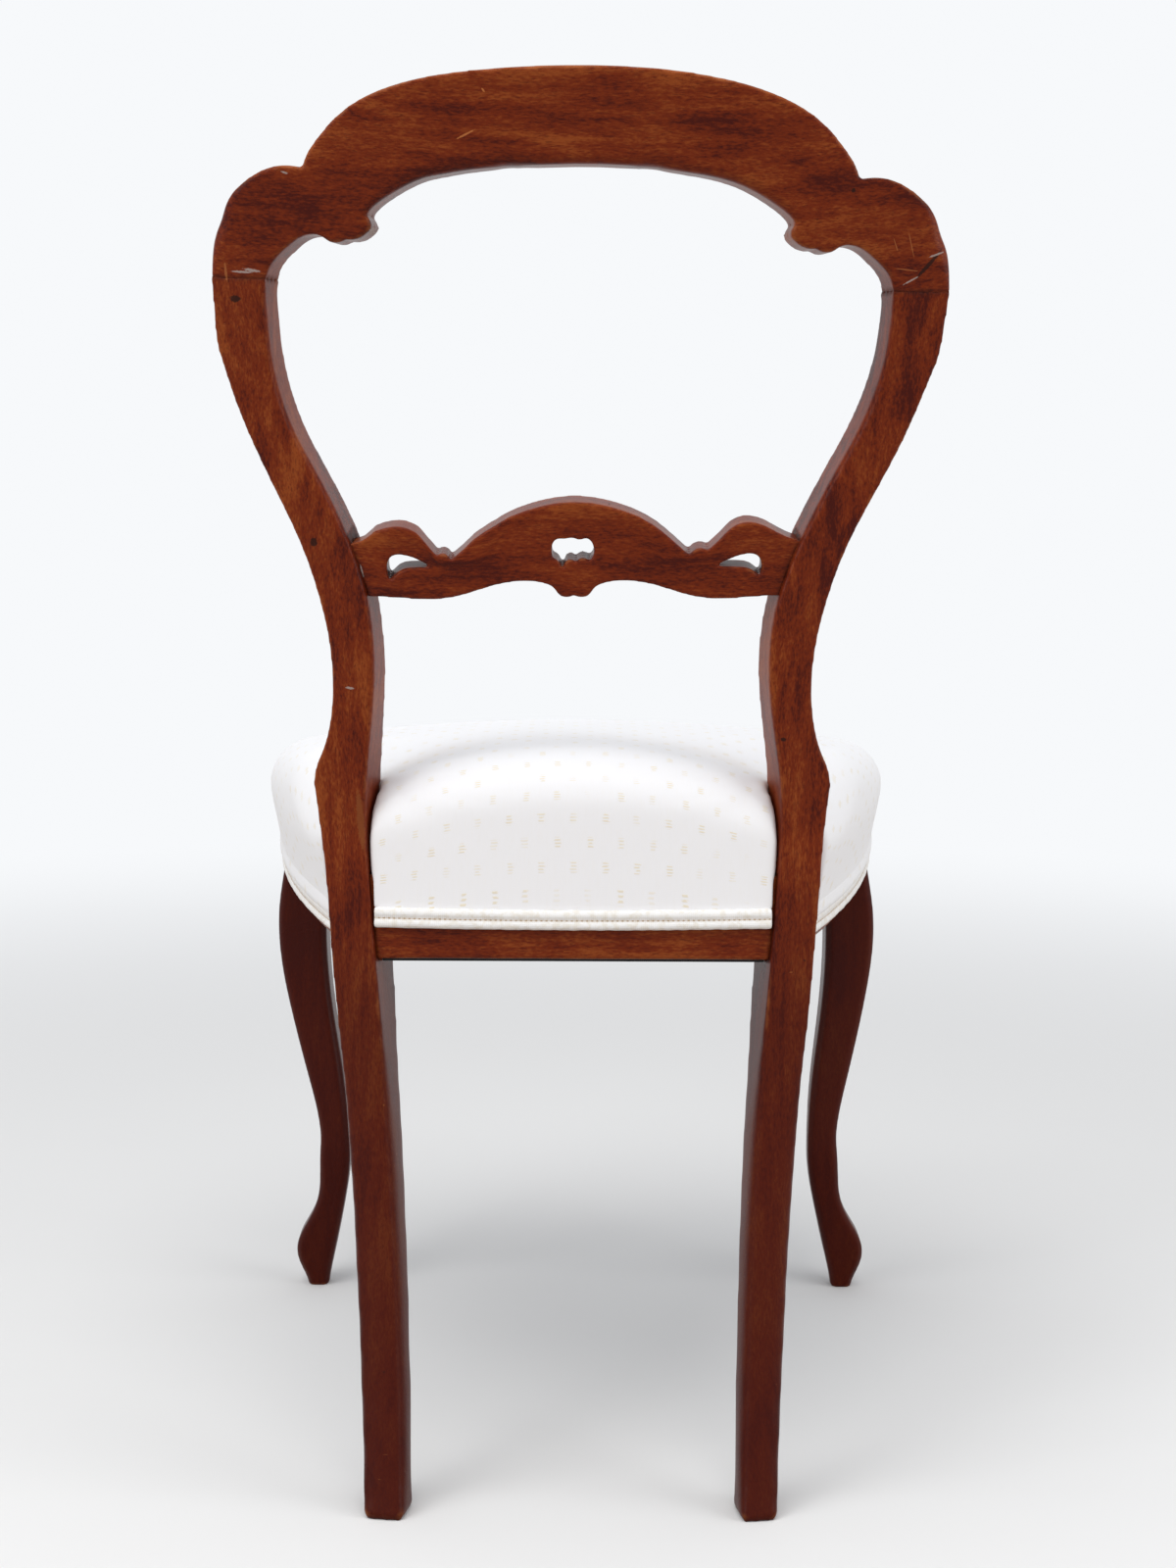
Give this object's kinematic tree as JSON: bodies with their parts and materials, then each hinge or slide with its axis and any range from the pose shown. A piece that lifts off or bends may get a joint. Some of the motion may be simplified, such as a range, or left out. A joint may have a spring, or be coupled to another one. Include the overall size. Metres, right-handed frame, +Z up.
{
  "type": "balloon back dining chair",
  "caption": "Balloon back dining chair with shaped posts, carved crest and mid rails, cabriole front legs and a sprung seat stuffed over its rails.",
  "frame": {"origin": "floor under the middle of the chair's width and depth", "axes": "+X to the sitter's left, -Y towards the front of the seat, +Z up"},
  "size_m": [0.4706, 0.5304, 0.887],
  "materials": {
    "show_wood": "french-polished mahogany, worn",
    "inner_wood": "bare beech",
    "spring_steel": "coppered wire",
    "webbing": "woven jute",
    "hessian": "open woven",
    "stuffing": "horsehair felted",
    "cover_damask": "satin damask",
    "piping_cloth": "covered cord",
    "lining": "black cambric"
  },
  "bodies": {
    "root": {"crest_rail": "show_wood", "mid_rail": "show_wood", "back_post_left": "show_wood", "back_post_right": "show_wood", "rear_seat_rail": "show_wood", "front_seat_rail": "show_wood", "side_rail_left": "show_wood", "side_rail_right": "show_wood", "front_leg_left": "show_wood", "front_leg_right": "show_wood", "corner_block_front_left": "inner_wood", "corner_block_front_right": "inner_wood", "corner_block_rear_left": "inner_wood", "corner_block_rear_right": "inner_wood", "crest_dowels": "inner_wood", "leg_dowels": "inner_wood", "webbing_front_to_back": "webbing", "webbing_side_to_side": "webbing", "seat_springs": "spring_steel", "spring_hessian": "hessian", "seat_stuffing": "stuffing", "seat_cover": "cover_damask", "piping_front": "piping_cloth", "piping_rear": "piping_cloth", "bottoming_cloth": "lining"}
  },
  "joints": []
}
